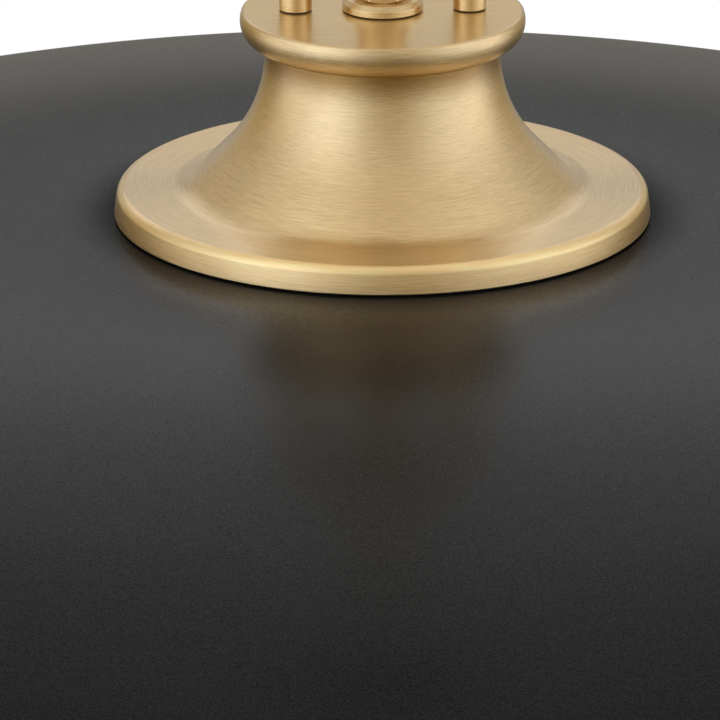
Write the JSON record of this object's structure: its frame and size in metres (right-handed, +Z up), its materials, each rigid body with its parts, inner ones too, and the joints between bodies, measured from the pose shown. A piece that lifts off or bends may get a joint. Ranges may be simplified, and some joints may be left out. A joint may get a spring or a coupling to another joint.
{
  "type": "pendant light",
  "caption": "Large satin-black dome pendant with a brushed brass trumpet cap, twin-post yoke, rigid stem, tilting swivel canopy and an inner lamp cluster.",
  "frame": {"origin": "on the light's axis, at the ceiling face of the mounting strap", "axes": "+Z up, out of the ceiling face; +X along the yoke bar; the light hangs along -Z"},
  "size_m": [0.731, 0.731, 0.8741],
  "materials": {
    "satin_brass": "brushed satin, lacquered",
    "bare_brass": "bare rolled",
    "black_paint": "satin powder coat",
    "white_paint": "satin enamel",
    "green_paint": "dyed zinc",
    "zinc_steel": "zinc plated",
    "black_rubber": "matte",
    "white_insulator": "glazed",
    "lamp_metal": "rolled",
    "opal_glass": "opal"
  },
  "bodies": {
    "ceiling_mount": {"mounting_strap": "zinc_steel", "strap_nipple": "zinc_steel", "strap_locknut": "zinc_steel", "earth_screw": "green_paint", "canopy": "satin_brass", "swivel_spindle": "satin_brass", "spindle_retainer": "zinc_steel"},
    "swivel": {"swivel_clevis": "satin_brass", "pivot_screw": "satin_brass", "pivot_nut": "satin_brass", "pivot_washers": "black_rubber"},
    "pendant": {"swivel_tongue": "satin_brass", "upper_stem": "satin_brass", "stem_coupling": "satin_brass", "lower_stem": "satin_brass", "stem_socket": "satin_brass", "yoke_bar": "satin_brass", "left_post": "satin_brass", "right_post": "satin_brass", "bar_screws": "satin_brass", "pipe_sleeve": "satin_brass", "pipe_nut": "satin_brass", "pipe_washer": "satin_brass", "brass_cap": "satin_brass", "finial": "satin_brass", "foot_screws": "zinc_steel", "center_pipe": "zinc_steel", "shade_locknut": "zinc_steel", "dome_shade": "black_paint", "cluster_ball": "black_paint", "cluster_cover": "black_paint", "backing_plate": "white_paint", "washer_seal": "black_rubber", "flange_gasket": "black_rubber", "holder_shell_1": "satin_brass", "holder_core_1": "white_insulator", "screw_shell_1": "bare_brass", "center_contact_1": "bare_brass", "holder_shell_2": "satin_brass", "holder_core_2": "white_insulator", "screw_shell_2": "bare_brass", "center_contact_2": "bare_brass", "holder_shell_3": "satin_brass", "holder_core_3": "white_insulator", "screw_shell_3": "bare_brass", "center_contact_3": "bare_brass"},
    "lamp_1_tip": {"lamp_tip_1": "lamp_metal"},
    "lamp_1": {"lamp_cap_1": "lamp_metal", "lamp_bulb_1": "opal_glass"},
    "lamp_2_tip": {"lamp_tip_2": "lamp_metal"},
    "lamp_2": {"lamp_cap_2": "lamp_metal", "lamp_bulb_2": "opal_glass"},
    "lamp_3_tip": {"lamp_tip_3": "lamp_metal"},
    "lamp_3": {"lamp_cap_3": "lamp_metal", "lamp_bulb_3": "opal_glass"}
  },
  "joints": [
    {"name": "swivel_turn", "type": "hinge", "parent": "ceiling_mount", "child": "swivel", "pos_m": [0, 0, -0.0574], "axis": [0, 0, 1], "range_deg": [-170, 170]},
    {"name": "swivel_tilt", "type": "hinge", "parent": "swivel", "child": "pendant", "pos_m": [0, 0, -0.0574], "axis": [0, 1, 0], "range_deg": [-45, 45]},
    {"name": "lamp_1_travel", "type": "slide", "parent": "pendant", "child": "lamp_1_tip", "axis": [0, 0.866, -0.5], "range_m": [0, 0.02]},
    {"name": "lamp_1_screw", "type": "hinge", "parent": "lamp_1_tip", "child": "lamp_1", "pos_m": [0, 0, -0.7265], "axis": [0, 0.866, -0.5], "range_deg": [0, 1980]},
    {"name": "lamp_2_travel", "type": "slide", "parent": "pendant", "child": "lamp_2_tip", "axis": [-0.75, -0.433, -0.5], "range_m": [0, 0.02]},
    {"name": "lamp_2_screw", "type": "hinge", "parent": "lamp_2_tip", "child": "lamp_2", "pos_m": [0, 0, -0.7265], "axis": [-0.75, -0.433, -0.5], "range_deg": [0, 1980]},
    {"name": "lamp_3_travel", "type": "slide", "parent": "pendant", "child": "lamp_3_tip", "axis": [0.75, -0.433, -0.5], "range_m": [0, 0.02]},
    {"name": "lamp_3_screw", "type": "hinge", "parent": "lamp_3_tip", "child": "lamp_3", "pos_m": [0, 0, -0.7265], "axis": [0.75, -0.433, -0.5], "range_deg": [0, 1980]}
  ],
  "couplings": [
    {"joint": "lamp_1_travel", "follows": "lamp_1_screw", "m_per_rad": 0.00057757},
    {"joint": "lamp_2_travel", "follows": "lamp_2_screw", "m_per_rad": 0.00057757},
    {"joint": "lamp_3_travel", "follows": "lamp_3_screw", "m_per_rad": 0.00057757}
  ]
}
